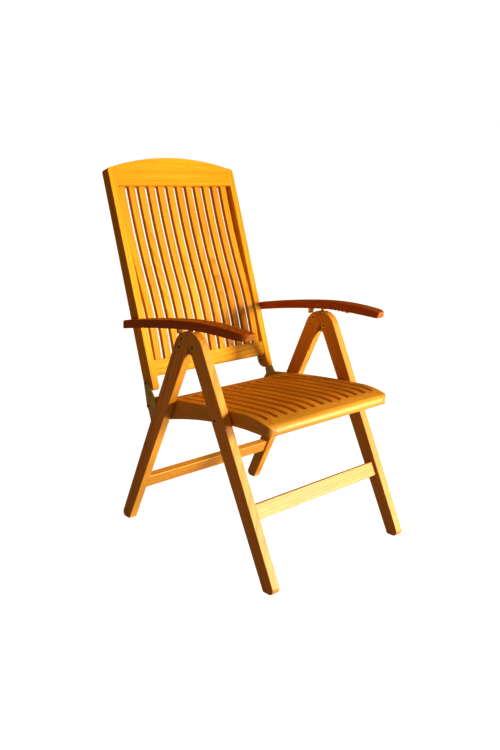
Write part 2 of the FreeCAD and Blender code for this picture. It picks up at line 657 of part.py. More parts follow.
def link_plate(name):
    """Brass plate that joins the rear leg, the seat and the backrest on each side."""
    body = new_body(name)
    back_y, back_z = "dims.back_pivot_y", "dims.back_pivot_z"
    leg_y, leg_z = "dims.link_leg_y", "dims.link_leg_z"
    seat_y, seat_z = "dims.link_seat_y", "dims.link_seat_z"
    eye = "dims.link_eye"
    pad(body, outline(body, "YZ_Plane", [
        (*rim(back_y, back_z, 120), "left", eye),
        rim(back_y, back_z, -12),
        (*rim(seat_y, seat_z, 12), "left", eye),
        (*rim(seat_y, seat_z, -70), "right", "dims.link_waist"),
        (*rim(leg_y, leg_z, 50), "left", eye),
        rim(leg_y, leg_z, 198),
        ("dims.link_belly_y", "dims.link_belly_z"),
        ("dims.link_brow_y", "dims.link_brow_z"),
    ]), "dims.link_thickness")
    pocket(body, rounds(body, "YZ_Plane", [
        (back_y, back_z, "dims.bolt_radius + dims.running"),
        (seat_y, seat_z, "dims.bolt_radius"),
        (leg_y, leg_z, "dims.bolt_radius + dims.slip")]),
        "dims.link_thickness * 3", symmetric=True)
    return pair(place(body, "dims.seat_outer + dims.link_gap"), name)


# ---------------------------------------------------------------- seat

def seat_top(depth):
    """Height of the seat surface behind the crest."""
    return circle_height("dims.seat_arc_y", SEAT_ARC_Z, "dims.seat_arc_radius", depth)


def crest_top(depth):
    """Height of the seat surface in front of the crest break."""
    return circle_height("dims.crest_arc_y", "dims.crest_arc_z", "dims.crest_arc_radius", depth)


def seat_rail(name):
    body = new_body(name)
    end_y = "dims.seat_end_y - dims.seat_end_set"
    rise = "sqrt(dims.seat_end_radius ^ 2 - dims.seat_end_set ^ 2)"
    pad(body, outline(body, "YZ_Plane", [
        (end_y, f"dims.seat_end_z + {rise}", "right", "dims.seat_arc_radius"),
        (CREST_BREAK_Y, crest_top(CREST_BREAK_Y), "right", "dims.crest_arc_radius"),
        ("dims.nose_y", crest_top("dims.nose_y"), "right", "dims.nose_radius"),
        ("dims.nose_under_y", "dims.nose_under_z"),
        ("dims.belly_front_y", "dims.nose_under_z", "left", "dims.belly_radius"),
        ("dims.belly_rear_y", "dims.belly_rear_z"),
        (end_y, f"dims.seat_end_z - {rise}", "right", "dims.seat_end_radius"),
    ]), "dims.seat_rail_width")
    upper = value("dims.nose_under_z") + CREST_ZONE
    for at in (0, value("dims.seat_rail_width")):
        fillet(body, "dims.slat_ease",
               lambda edge: side_edge(edge) and edge.BoundBox.ZMax > upper
               and abs(edge.BoundBox.Center.x - at) < FLAT_EDGE)
    # The outer front corner is rounded in plan.
    corner = "dims.nose_side_radius"
    outer = "dims.seat_rail_width"
    tip = "(dims.nose_under_y - dims.nose_reach)"
    pocket(body, outline(body, "XY_Plane", [
        (outer, f"{tip} + {corner}", "left", corner),
        (f"{outer} - {corner}", tip),
        (f"{outer} - {corner}", f"{tip} - dims.overcut"),
        (f"{outer} + dims.overcut", f"{tip} - dims.overcut"),
        (f"{outer} + dims.overcut", f"{tip} + {corner}")]), "dims.through", symmetric=True)
    pocket(body, rounds(body, "YZ_Plane", [
        ("dims.seat_pivot_y", "dims.seat_pivot_z", "dims.bolt_radius + dims.running"),
        ("dims.link_seat_y", "dims.link_seat_z", "dims.bolt_radius + dims.running")]),
        "dims.seat_rail_width * 3", symmetric=True)
    return pair(place(body, "dims.seat_outer - dims.seat_rail_width"), name)


def slat_start(number):
    return f"({number} - (dims.slat_count - 1) / 2) * dims.slat_pitch - dims.slat_width / 2"


def seat_slat(name, number):
    body = new_body(name)
    front = "dims.front_rail_rear_y - dims.tenon"
    rear = "dims.rear_rail_front_y + dims.tenon"
    down = "dims.seat_slat_thickness"
    pad(body, outline(body, "YZ_Plane", [
        (rear, seat_top(f"({rear})"), "right", "dims.seat_arc_radius"),
        (CREST_BREAK_Y, crest_top(CREST_BREAK_Y), "right", "dims.crest_arc_radius"),
        (front, crest_top(f"({front})")),
        (front, f"{crest_top(f'({front})')} - {down}", "left", "dims.crest_arc_radius"),
        (CREST_BREAK_Y, f"{crest_top(CREST_BREAK_Y)} - {down}", "left",
         "dims.seat_arc_radius"),
        (rear, f"{seat_top(f'({rear})')} - {down}"),
    ]), "dims.slat_width")
    middle = value("dims.crest_arc_z + dims.crest_arc_radius - dims.seat_slat_thickness / 2")
    fillet(body, "dims.slat_ease",
           lambda edge: side_edge(edge) and edge.BoundBox.ZMax > middle)
    return keep(place(body, slat_start(number)), name)


def mortised(name, blank, slats):
    """Rail with mortises that fit the slat ends: the blank less the slats."""
    tenons = doc.addObject("Part::Compound", name + "_tenons")
    tenons.Links = slats
    rail = cut(blank, tenons)
    return keep(rail, name)


def seat_cross_rail(name, front, slats):
    body = new_body(name + "_blank")
    if front:
        rear = "dims.front_rail_rear_y"
        path = [
            (rear, crest_top(rear), "right", "dims.crest_arc_radius"),
            ("dims.nose_y", crest_top("dims.nose_y"), "right", "dims.nose_radius"),
            ("dims.nose_under_y", "dims.nose_under_z"),
            (rear, "dims.nose_under_z")]
    else:
        near_y, far_y = "dims.rear_rail_front_y", "dims.rear_rail_rear_y"
        path = [
            (near_y, seat_top(near_y), "left", "dims.seat_arc_radius"),
            (far_y, seat_top(far_y)),
            (far_y, f"{seat_top(far_y)} - dims.rear_rail_depth"),
            (near_y, f"{seat_top(near_y)} - dims.rear_rail_depth")]
    inner = "(dims.seat_outer - dims.seat_rail_width)"
    pad(body, outline(body, "YZ_Plane", path), f"{inner} * 2")
    if not front:
        rear_edge = value("dims.rear_rail_rear_y")
        fillet(body, "dims.ease",
               lambda edge: across_edge(edge) and abs(edge.BoundBox.Center.y - rear_edge) < 1)
    place(body, f"-{inner}")
    return mortised(name, body, slats)


# ---------------------------------------------------------------- backrest

def back_place(inset, height):
    """Side-view place of a point given by its inset behind the front plane of the back and its
    height above the back pivot, along the back."""
    depth = f"({inset} - dims.pivot_inset)"
    y = (f"dims.back_pivot_y + {depth} * cos(dims.recline)"
         f" + {height} * sin(dims.recline)")
    z = (f"dims.back_pivot_z - {depth} * sin(dims.recline)"
         f" + {height} * cos(dims.recline)")
    return y, z


def on_back(body, across):
    """Lean a body built in the back's own frame: inset along Y, height along Z."""
    y, z = back_place("0", "0")
    return place(body, across, y, z, "dims.recline")


def crown(across):
    """Height of the arched top at a distance from the centre plane."""
    return circle_height("0", "(dims.crown_height - dims.crown_radius)", "dims.crown_radius",
                         across)


def stile(name):
    body = new_body(name)
    foot = "-dims.stile_foot"
    pad(body, outline(body, "YZ_Plane", [
        ("0", foot),
        ("0", "dims.stile_top"),
        ("dims.stile_top_depth", "dims.stile_top"),
        ("dims.stile_foot_depth", foot)]), "dims.stile_width")
    fillet(body, "dims.heel_round", lambda edge: near(edge, "dims.stile_foot_depth", foot))
    fillet(body, "dims.shin_round", lambda edge: near(edge, "0", foot))
    # The arched top is cut across the stile; its outer corner is rounded.
    inner = "dims.back_outer - dims.stile_width"
    lift = "dims.stile_top + dims.overcut * 4"
    outer_x = "dims.stile_width"
    low = f"{crown('dims.back_outer')} - dims.corner_radius"
    trim = outline(body, "XZ_Plane", [
        ("0", lift),
        ("0", crown(f"({inner})")),
        (f"{outer_x} - dims.corner_radius", crown("(dims.back_outer - dims.corner_radius)"),
         "left", "dims.corner_radius"),
        (outer_x, low),
        (f"{outer_x} + dims.overcut", low),
        (f"{outer_x} + dims.overcut", lift)])
    pocket(body, trim, "dims.stile_foot_depth * 3", symmetric=True)
    below_crown = value("dims.stile_top") - CROWN_ZONE
    fillet(body, "dims.slat_ease",
           lambda edge: side_edge(edge) and edge.BoundBox.ZMax < below_crown
           or side_edge(edge) and edge.BoundBox.ZLength > LONG_EDGE)
    pocket(body, rounds(body, "YZ_Plane", [
        ("dims.pivot_inset", "0", "dims.bolt_radius + dims.running"),
        ("dims.arm_pivot_inset", "dims.arm_pivot_height", "dims.bolt_radius + dims.running")]),
        "dims.stile_width * 3", symmetric=True)
    return pair(on_back(body, inner), name)


def slat_front(height):
    """Inset of the slat's front face on the lumbar bulge."""
    return (f"(dims.lumbar_depth + dims.lumbar_radius"
            f" - sqrt(dims.lumbar_radius ^ 2 - ({height} - dims.lumbar_height) ^ 2))")


def back_slat(name, number):
    """S-curved slat: a lumbar bulge that runs smoothly into a shoulder hollow."""
    body = new_body(name)
    thick = "dims.back_slat_thickness"
    low = "(dims.bottom_rail_high - dims.tenon)"
    high = "(dims.top_rail_low + dims.tenon)"
    swing = "((dims.slat_turn - dims.lumbar_height) / dims.lumbar_radius)"
    hollow_z = f"(dims.slat_turn + dims.hollow_radius * {swing})"
    hollow_y = (f"({slat_front('dims.slat_turn')}"
                f" - dims.hollow_radius * sqrt(1 - {swing} ^ 2))")
    rear_low = (f"dims.lumbar_depth + dims.lumbar_radius - sqrt((dims.lumbar_radius - {thick}) ^ 2"
                f" - ({low} - dims.lumbar_height) ^ 2)")
    front_high = f"{hollow_y} + sqrt(dims.hollow_radius ^ 2 - ({high} - {hollow_z}) ^ 2)"
    rear_high = f"{hollow_y} + sqrt((dims.hollow_radius + {thick}) ^ 2 - ({high} - {hollow_z}) ^ 2)"
    turn_y = f"{slat_front('dims.slat_turn')} + {thick} * sqrt(1 - {swing} ^ 2)"
    turn_z = f"dims.slat_turn - {thick} * {swing}"
    pad(body, outline(body, "YZ_Plane", [
        (slat_front(low), low, "left", "dims.lumbar_radius"),
        (slat_front("dims.slat_turn"), "dims.slat_turn", "right", "dims.hollow_radius"),
        (front_high, high),
        (rear_high, high, "left", f"dims.hollow_radius + {thick}"),
        (turn_y, turn_z, "right", f"dims.lumbar_radius - {thick}"),
        (rear_low, low)]), "dims.slat_width")
    fillet(body, "dims.slat_ease",
           lambda edge: side_edge(edge) and edge.BoundBox.ZLength > SHORT_EDGE)
    return keep(on_back(body, slat_start(number)), name)


def back_rail(name, top, slats):
    body = new_body(name + "_blank")
    inner = "(dims.back_outer - dims.stile_width)"
    if top:
        path = [
            (f"-{inner}", "dims.top_rail_low"),
            (f"-{inner}", crown(inner), "left", "dims.crown_radius"),
            (inner, crown(inner)),
            (inner, "dims.top_rail_low")]
        pad(body, outline(body, "XZ_Plane", path), "dims.top_rail_depth", reverse=True)
        fillet(body, "dims.slat_ease",
               lambda edge: edge.BoundBox.YLength < 0.01 and edge.BoundBox.XLength > 100)
        on_back(body, "0")
    else:
        front = "dims.bottom_rail_inset"
        rear = f"{front} + dims.bottom_rail_depth"
        path = [
            (front, "dims.bottom_rail_low"),
            (front, "dims.bottom_rail_high"),
            (rear, "dims.bottom_rail_high"),
            (rear, "dims.bottom_rail_low")]
        pad(body, outline(body, "YZ_Plane", path), f"{inner} * 2")
        fillet(body, "dims.bottom_rail_round",
               lambda edge: near(edge, front, "dims.bottom_rail_low"))
        fillet(body, "dims.slat_ease",
               lambda edge: near(edge, front, "dims.bottom_rail_high"))
        on_back(body, f"-{inner}")
    return mortised(name, body, slats)


# ---------------------------------------------------------------- arms

def arm_top(part, depth, drop="0"):
    """Height of an arm's top curve, or of the curve a given drop below it."""
    return circle_height(f"dims.arm_{part}_arc_y", f"dims.arm_{part}_arc_z",
                         f"(dims.arm_{part}_radius - {drop})", depth)


def armrest(name):
    body = new_body(name)
    thick = "dims.arm_thickness"
    pad(body, outline(body, "YZ_Plane", [
        ("dims.arm_rear_y", arm_top("rear", "dims.arm_rear_y"), "right",
         "dims.arm_rear_radius"),
        ("dims.arm_break_y", arm_top("front", "dims.arm_break_y"), "right",
         "dims.arm_front_radius"),
        ("dims.arm_tip_y", arm_top("front", "dims.arm_tip_y")),
        ("dims.arm_tip_under_y", "dims.arm_tip_under_z"),
        ("dims.arm_front_arc_y", arm_top("front", "dims.arm_front_arc_y", thick), "left",
         f"dims.arm_front_radius - {thick}"),
        ("dims.arm_break_y", arm_top("front", "dims.arm_break_y", thick), "left",
         f"dims.arm_rear_radius - {thick}"),
        ("dims.arm_rear_y", arm_top("rear", "dims.arm_rear_y", thick))]), "dims.arm_width")
    # Plan shape: the outer edge bows out and turns into the rounded tip; the inner corner is round.
    beyond = "dims.arm_width + dims.overcut"
    ahead = "dims.arm_tip_y - dims.overcut"
    behind = "dims.arm_rear_y + dims.overcut"
    nose = "dims.arm_nose_radius"
    sides = outline(body, "XY_Plane", [
        ("dims.arm_rear_width", "dims.arm_rear_y", "left", "dims.arm_side_radius"),
        ("dims.arm_shoulder_width", "dims.arm_shoulder_y", "left", "dims.arm_tip_radius"),
        ("dims.arm_tip_width", "dims.arm_tip_y"),
        (nose, "dims.arm_tip_y", "left", nose),
        ("0", f"dims.arm_tip_y + {nose}"),
        ("-dims.overcut", f"dims.arm_tip_y + {nose}"),
        ("-dims.overcut", ahead),
        (beyond, ahead),
        (beyond, behind),
        ("dims.arm_rear_width", behind)])
    pocket(body, sides, "dims.through * 2", symmetric=True)
    tip_y = value("dims.arm_tip_under_y")
    fillet(body, "dims.arm_ease",
           lambda edge: edge.BoundBox.YLength > 25 or edge.BoundBox.YMax < tip_y + 1)
    # Groove for the rack, open downwards.
    groove = outline(body, "YZ_Plane", [
        ("dims.rack_front_y", "dims.lug_low_z"),
        ("dims.rack_front_y", RACK_TOP),
        ("dims.lug_rear_y", RACK_TOP),
        ("dims.lug_rear_y", "dims.lug_low_z")],
        "dims.leg_inner + dims.leg_thickness / 2 - dims.arm_inner")
    pocket(body, groove, "dims.rack_width", symmetric=True)
    arm_y, arm_z = back_place("dims.arm_pivot_inset", "dims.arm_pivot_height")
    hole = rounds(body, "YZ_Plane", [(arm_y, arm_z, "dims.bolt_radius + dims.running")])
    pocket(body, hole, "dims.arm_bolt_depth + dims.slip", reverse=True)
    return pair(place(body, "dims.arm_inner"), name)


def notch_place(step):
    """Depth of the catch pin as the arm sees it when the backrest stands in one of its positions:
    turned back by the arm's own lean about the arm bolt, which swings about the back pivot."""
    lean = f"({step} * dims.notch_angle)"
    tilt = f"({lean} * (1 - dims.arm_share))"
    arm_y, arm_z = back_place("dims.arm_pivot_inset", "dims.arm_pivot_height")
    reach_y = f"({arm_y} - dims.back_pivot_y)"
    reach_z = f"({arm_z} - dims.back_pivot_z)"
    moved_y = f"(dims.back_pivot_y + {reach_y} * cos({lean}) + {reach_z} * sin({lean}))"
    moved_z = f"(dims.back_pivot_z - {reach_y} * sin({lean}) + {reach_z} * cos({lean}))"
    off_y = f"(dims.catch_y - {moved_y})"
    off_z = f"(dims.catch_z - {moved_z})"
    return f"{arm_y} + {off_y} * cos({tilt}) - {off_z} * sin({tilt})"


def arm_rack(name):
    """Brass strip with a notch for each position of the backrest, a channel along its middle for
    the hinge plate and a stop lug at its rear."""
    body = new_body(name)
    brace_y = "dims.lug_rear_y - dims.lug_thickness - dims.lug_brace"
    pad(body, outline(body, "YZ_Plane", [
        ("dims.rack_front_y", TOOTH_Z),
        ("dims.rack_front_y", RACK_TOP),
        ("dims.lug_rear_y", RACK_TOP),
        ("dims.lug_rear_y", "dims.lug_low_z"),
        ("dims.lug_rear_y - dims.lug_thickness", "dims.lug_low_z"),
        (brace_y, f"{TOOTH_Z} - dims.lug_brace"),
        ("dims.rack_rear_y", TOOTH_Z)]), "dims.rack_width")
    middle = "dims.rack_width / 2"
    channel = outline(body, "YZ_Plane", [
        ("dims.rack_front_y - dims.overcut", f"{TOOTH_Z} - dims.overcut"),
        ("dims.rack_front_y - dims.overcut", f"{RACK_TOP} - dims.rack_roof"),
        ("dims.rack_rear_y", f"{RACK_TOP} - dims.rack_roof"),
        ("dims.rack_rear_y", f"{TOOTH_Z} - dims.overcut")], middle)
    pocket(body, channel, "dims.rack_channel", symmetric=True)
    wide = "(dims.catch_radius + dims.notch_play)"
    for step in range(int(value("dims.notch_count"))):
        y = notch_place(step)
        notch = rounds(body, "YZ_Plane", [(y, TOOTH_Z, wide)], middle)
        pocket(body, notch, "dims.rack_width * 2", symmetric=True)
    return pair(place(body, f"dims.leg_inner + dims.leg_thickness / 2 - {middle}"), name)


# ---------------------------------------------------------------- assembly

def build():
    leg("front_leg", True)
    leg("rear_leg", False)
    hinge_plate("hinge_plate")
    seat_rail("seat_rail")
    link_plate("link_plate")
    stile("back_stile")
    armrest("armrest")
    arm_rack("arm_rack")
    stretcher("front_stretcher", True)
    stretcher("rear_stretcher", False)
    count = int(value("dims.slat_count"))
    seat_slats = [seat_slat(f"seat_slat_{number + 1:02d}", number) for number in range(count)]
    seat_cross_rail("seat_front_rail", True, seat_slats)
    seat_cross_rail("seat_rear_rail", False, seat_slats)
    back_slats = [back_slat(f"back_slat_{number + 1:02d}", number) for number in range(count)]
    back_rail("back_top_rail", True, back_slats)
    back_rail("back_bottom_rail", False, back_slats)
    fasteners()
    doc.recompute()


def export():
    """Check every object and sub-part, then write one STEP file for each sub-part."""
    failed = [item.Label for item in doc.Objects
              if "Invalid" in item.State or "Error" in item.State]
    if failed:
        raise RuntimeError("failed objects: " + ", ".join(failed))
    for item in subparts:
        if item.Shape.isNull() or not item.Shape.isValid() or item.Shape.Volume < 1:
            raise RuntimeError(f"{item.Label} has no valid shape")
    os.makedirs("parts", exist_ok=True)
    box = FreeCAD.BoundBox()
    for item in subparts:
        item.Shape.exportStep(os.path.join("parts", item.Label + ".step"))
        box.add(item.Shape.BoundBox)
    print(f"{len(subparts)} sub-parts, box {box}")


build()
export()
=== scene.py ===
import json
import math
import random

import bpy
from mathutils import Matrix, Quaternion, Vector


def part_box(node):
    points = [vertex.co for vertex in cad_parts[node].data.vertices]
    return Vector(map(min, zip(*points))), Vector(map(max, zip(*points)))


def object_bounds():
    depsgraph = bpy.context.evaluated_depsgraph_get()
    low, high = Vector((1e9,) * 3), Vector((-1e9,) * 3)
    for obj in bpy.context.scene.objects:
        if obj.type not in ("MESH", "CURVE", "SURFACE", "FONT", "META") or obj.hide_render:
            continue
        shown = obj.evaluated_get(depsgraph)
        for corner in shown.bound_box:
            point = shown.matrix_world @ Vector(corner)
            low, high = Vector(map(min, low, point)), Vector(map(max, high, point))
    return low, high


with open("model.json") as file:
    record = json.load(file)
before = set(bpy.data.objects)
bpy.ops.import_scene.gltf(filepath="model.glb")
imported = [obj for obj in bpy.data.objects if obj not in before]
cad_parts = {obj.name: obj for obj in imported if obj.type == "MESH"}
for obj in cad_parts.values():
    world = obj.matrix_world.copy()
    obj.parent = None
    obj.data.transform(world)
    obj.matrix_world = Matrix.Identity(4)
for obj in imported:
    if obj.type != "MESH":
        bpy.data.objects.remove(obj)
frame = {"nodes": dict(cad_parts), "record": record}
cad_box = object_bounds()
nodes = frame["nodes"]

# Linear colours of oiled hardwood, from the dark late wood to the pale early wood.
WOOD_DARK = (0.36, 0.105, 0.010)
WOOD_MIDDLE = (0.62, 0.250, 0.024)
WOOD_LIGHT = (0.76, 0.370, 0.052)
END_GRAIN = (0.42, 0.190, 0.040)
BRASS_DEEP = (0.46, 0.33, 0.10)
BRASS_BRIGHT = (0.80, 0.62, 0.26)
TARNISH = (0.16, 0.105, 0.045)
SCREW_DARK = (0.035, 0.022, 0.012)

# Metres: growth rings, rounded edges that wear bright, and the dark screw inside a brass sleeve.
RING_SPACING = 0.0042
WOOD_EDGE = 0.0022
BRASS_EDGE = 0.0006
SCREW_RADIUS = 0.0040
SCREW_RIM = 0.0004

# A standing viewer's eye, in front of the chair and to the sitter's right, and where it looks.
EYE = Vector((-1.7289, -1.7070, 1.1212))
YAW, PITCH, ROLL = (math.radians(angle) for angle in (45.5, -15.3, 2.8))
LENS_MM = 40.44
SENSOR_MM = 36

FLOOR_REACH = 30.0
FLOOR_GAP = 0.0005
# How strongly the white floor and air show to the camera, and how much light they give.
WHITE_SEEN = 1.0
FLOOR_GLOW = 0.04
AIR_GLOW = 0.15
AIR_COLOUR = (1.0, 0.34, 0.03)

SUN_WAY = (0.52, -0.83, 0.21)
SUN_ANGLE = 10
SUN_STRENGTH = 4.1
SUN_COLOUR = (1.0, 0.78, 0.26)
# Name, place, target, cone in degrees, radius, watts and colour of each spot: near-white on the
# legs, yellow on the upper back, pale on the lower back, and amber on the legs' shaded sides.
SPOTS = (
    ("low_light", (1.3, -2.3, 0.30), (0.0, -0.1, 0.24), 34, 0.35, 360, (1.0, 0.96, 0.86)),
    ("high_light", (1.5, -2.6, 1.10), (0.0, 0.25, 0.95), 24, 0.30, 300, (1.0, 0.70, 0.0)),
    ("glare_light", (1.2, -2.6, 0.45), (0.0, 0.2, 0.70), 11, 0.10, 110, (1.0, 0.88, 0.70)),
    ("side_light", (-2.9, -1.0, 0.10), (-0.2, 0.0, 0.22), 26, 0.60, 70, (1.0, 0.60, 0.22)),
)


# ---------------------------------------------------------------- node helpers

class Nodes:
    """Short calls that add shader nodes and link them."""

    def __init__(self, name):
        self.material = bpy.data.materials.new(name)
        self.material.use_nodes = True
        self.tree = self.material.node_tree
        self.tree.nodes.clear()
        self.output = self.tree.nodes.new("ShaderNodeOutputMaterial")

    def add(self, kind, **settings):
        node = self.tree.nodes.new("ShaderNode" + kind)
        for key, setting in settings.items():
            setattr(node, key, setting)
        return node

    def feed(self, socket, source):
        """Link a socket to a source, or set it to a plain value."""
        if isinstance(source, bpy.types.NodeSocket):
            self.tree.links.new(source, socket)
        else:
            socket.default_value = source

    def math(self, operation, first, second=0.0, clamp=False):
        node = self.add("Math", operation=operation, use_clamp=clamp)
        self.feed(node.inputs[0], first)
        self.feed(node.inputs[1], second)
        return node.outputs[0]

    def scaled(self, vector, scale):
        node = self.add("VectorMath", operation="MULTIPLY")
        self.feed(node.inputs[0], vector)
        node.inputs[1].default_value = scale
        return node.outputs[0]

    def noise(self, vector, detail=2.0, roughness=0.5):
        node = self.add("TexNoise")
        self.feed(node.inputs["Vector"], vector)
        node.inputs["Scale"].default_value = 1.0
        node.inputs["Detail"].default_value = detail
        node.inputs["Roughness"].default_value = roughness
        return node.outputs["Fac"]

    def ramp(self, factor, stops):
        node = self.add("ValToRGB")
        elements = node.color_ramp.elements
        while len(elements) < len(stops):
            elements.new(0.5)
        for element, (place, colour) in zip(elements, stops):
            element.position = place
            element.color = (*colour, 1.0)
        self.feed(node.inputs[0], factor)
        return node.outputs[0]

    def span(self, source, low, high, out_low=0.0, out_high=1.0):
        """Map a range of values onto another, clamped."""
        node = self.add("MapRange")
        self.feed(node.inputs["Value"], source)
        node.inputs["From Min"].default_value = low
        node.inputs["From Max"].default_value = high
        node.inputs["To Min"].default_value = out_low
        node.inputs["To Max"].default_value = out_high
        return node.outputs["Result"]

    def mix(self, factor, first, second, blend="MIX"):
        node = self.add("Mix", data_type="RGBA", blend_type=blend)
        self.feed(node.inputs[0], factor)
        self.feed(node.inputs[6], first if not isinstance(first, tuple) else (*first, 1.0))
        self.feed(node.inputs[7], second if not isinstance(second, tuple) else (*second, 1.0))
        return node.outputs[2]

    def tint(self, colour, amount):
        """Scale a colour by a factor that varies over the surface."""
        node = self.add("VectorMath", operation="SCALE")
        self.feed(node.inputs[0], colour)
        self.feed(node.inputs["Scale"], amount)
        return node.outputs[0]

    def bump(self, height, strength, distance):
        node = self.add("Bump")
        node.inputs["Strength"].default_value = strength
        node.inputs["Distance"].default_value = distance
        self.feed(node.inputs["Height"], height)
        return node.outputs[0]

    def edge_mask(self, radius):
        """One on rounded and worn edges, nought on flat faces."""
        bevel = self.add("Bevel", samples=4)
        bevel.inputs["Radius"].default_value = radius
        geometry = self.add("NewGeometry")
        dot = self.add("VectorMath", operation="DOT_PRODUCT")
        self.feed(dot.inputs[0], bevel.outputs[0])
        self.feed(dot.inputs[1], geometry.outputs["Normal"])
        return self.span(dot.outputs["Value"], 0.995, 0.90)


# ---------------------------------------------------------------- materials

def wood(name, grain, seed, tone, hue, sheen):
    """Oiled hardwood whose grain runs along one direction of the object's own space. Tone scales
    its brightness, hue turns it from yellow (above a half) towards red (below a half), and sheen
    is how much of the oil still shines on it."""
    draw = random.Random(seed)
    n = Nodes(name)
    place = n.add("TexCoord")
    board = n.add("Mapping")
    tilt = Quaternion((draw.uniform(-1, 1), draw.uniform(-1, 1), 0.2), math.radians(0.9))
    turn = tilt @ Vector(grain).normalized().rotation_difference(Vector((0, 0, 1)))
    board.inputs["Rotation"].default_value = turn.to_euler()
    board.inputs["Location"].default_value = [draw.uniform(-3, 3) for _ in range(3)]
    n.feed(board.inputs["Vector"], place.outputs["Object"])
    along = board.outputs[0]

    # Slow wander of the growth rings across the board.
    wander = n.noise(n.scaled(along, (9, 9, 1.6)), 2.0)
    wander = n.math("MULTIPLY", n.math("SUBTRACT", wander, 0.5), 0.016)
    heart = n.add("SeparateXYZ")
    n.feed(heart.inputs[0], along)
    pith_x, pith_y = draw.uniform(-0.12, 0.12), draw.uniform(0.05, 0.16)
    reach_x = n.math("SUBTRACT", n.math("FRACT", heart.outputs[0]), 0.5 + pith_x)
    reach_y = n.math("ADD", n.math("FRACT", heart.outputs[1]), pith_y)
    radius = n.math("SQRT", n.math("ADD", n.math("MULTIPLY", reach_x, reach_x),
                                   n.math("MULTIPLY", reach_y, reach_y)))
    turns = n.math("DIVIDE", n.math("ADD", radius, wander), RING_SPACING)
    ring = n.math("FRACT", turns)
    ring = n.math("POWER", ring, 2.2)

    streak = n.noise(n.scaled(along, (95, 95, 1.4)), 3.0, 0.6)
    fibre = n.noise(n.scaled(along, (620, 620, 11)), 4.0, 0.7)
    pore = n.noise(n.scaled(along, (1500, 1500, 55)), 1.0)
    patch = n.noise(n.scaled(along, (14, 14, 2.6)), 2.0)
    pores = n.span(pore, 0.62, 0.72)

    shade = n.math("ADD", n.math("MULTIPLY", n.math("SUBTRACT", 1.0, ring), 0.34),
                   n.math("MULTIPLY", streak, 0.58))
    shade = n.math("ADD", shade, n.math("MULTIPLY", fibre, 0.30))
    shade = n.math("SUBTRACT", shade, 0.10)
    colour = n.ramp(shade, [(0.18, WOOD_DARK), (0.50, WOOD_MIDDLE), (0.86, WOOD_LIGHT)])
    turned = n.add("HueSaturation")
    turned.inputs["Hue"].default_value = hue
    n.feed(turned.inputs["Color"], colour)
    colour = n.tint(turned.outputs[0], n.span(patch, 0.25, 0.75, 0.84 * tone, 1.12 * tone))
    colour = n.mix(n.math("MULTIPLY", pores, 0.45), colour, WOOD_DARK)

    # End grain is darker and duller, with the rings in view.
    facing = n.add("VectorMath", operation="DOT_PRODUCT")
    n.feed(facing.inputs[0], place.outputs["Normal"])
    facing.inputs[1].default_value = Vector(grain).normalized()
    end = n.span(n.math("ABSOLUTE", facing.outputs["Value"]), 0.72, 0.93)
    end_colour = n.tint(n.mix(0.25, END_GRAIN, colour), n.span(ring, 0.0, 1.0, 1.12, 0.78))
    colour = n.mix(n.math("MULTIPLY", end, 0.72), colour, end_colour)
    wear = n.math("MULTIPLY", n.edge_mask(WOOD_EDGE), n.span(streak, 0.35, 0.65))
    colour = n.mix(n.math("MULTIPLY", wear, 0.30), colour, WOOD_LIGHT)

    shader = n.add("BsdfPrincipled")
    n.feed(shader.inputs["Base Color"], colour)
    rough = n.math("ADD", n.span(fibre, 0.3, 0.7, 0.40, 0.54), n.math("MULTIPLY", end, 0.2))
    n.feed(shader.inputs["Roughness"], rough)
    shader.inputs["Specular IOR Level"].default_value = sheen
    relief = n.math("SUBTRACT", n.math("MULTIPLY", fibre, 0.6), pores)
    relief = n.math("SUBTRACT", relief, n.math("MULTIPLY", ring, 0.25))
    n.feed(shader.inputs["Normal"], n.bump(relief, 0.30, 0.0004))
    n.feed(n.output.inputs["Surface"], shader.outputs[0])
    return n.material


def brass(name, seed, brushed, axes=()):
    """Satin brass, brushed along one direction, dulled in patches and bright on worn edges. Around
    each axis along X, given by its place in depth and height, it holds a blackened screw."""
    draw = random.Random(seed)
    n = Nodes(name)
    place = n.add("TexCoord")
    shift = n.add("Mapping")
    shift.inputs["Location"].default_value = [draw.uniform(-3, 3) for _ in range(3)]
    n.feed(shift.inputs["Vector"], place.outputs["Object"])
    spot = shift.outputs[0]
    dull = n.noise(n.scaled(spot, (70, 70, 70)), 4.0, 0.6)
    scratch = n.noise(n.scaled(spot, brushed), 2.0, 0.6)
    colour = n.mix(n.span(dull, 0.35, 0.7), BRASS_BRIGHT, BRASS_DEEP)
    colour = n.mix(n.math("MULTIPLY", n.span(scratch, 0.55, 0.8), 0.35), colour, TARNISH)
    colour = n.mix(n.math("MULTIPLY", n.edge_mask(BRASS_EDGE), 0.6), colour, BRASS_BRIGHT)
    for depth, height in axes:
        away = n.add("VectorMath", operation="DISTANCE")
        n.feed(away.inputs[0], n.scaled(place.outputs["Object"], (0, 1, 1)))
        away.inputs[1].default_value = (0, depth, height)
        inside = n.span(away.outputs["Value"], SCREW_RADIUS, SCREW_RADIUS - SCREW_RIM)
        colour = n.mix(inside, colour, SCREW_DARK)
    shader = n.add("BsdfPrincipled")
    shader.inputs["Metallic"].default_value = 1.0
    n.feed(shader.inputs["Base Color"], colour)
    rough = n.math("ADD", n.span(dull, 0.3, 0.7, 0.26, 0.42),
                   n.math("MULTIPLY", scratch, 0.12))
    n.feed(shader.inputs["Roughness"], rough)
    n.feed(shader.inputs["Normal"], n.bump(scratch, 0.12, 0.0002))
    n.feed(n.output.inputs["Surface"], shader.outputs[0])
    return n.material


# ---------------------------------------------------------------- grain directions

# Metres that the shaped ends of a leg and of a stile add to their boxes beyond the run of grain.
LEG_END_DEPTH = 0.08
LEG_END_RISE = 0.05
STILE_END_DEPTH = 0.03
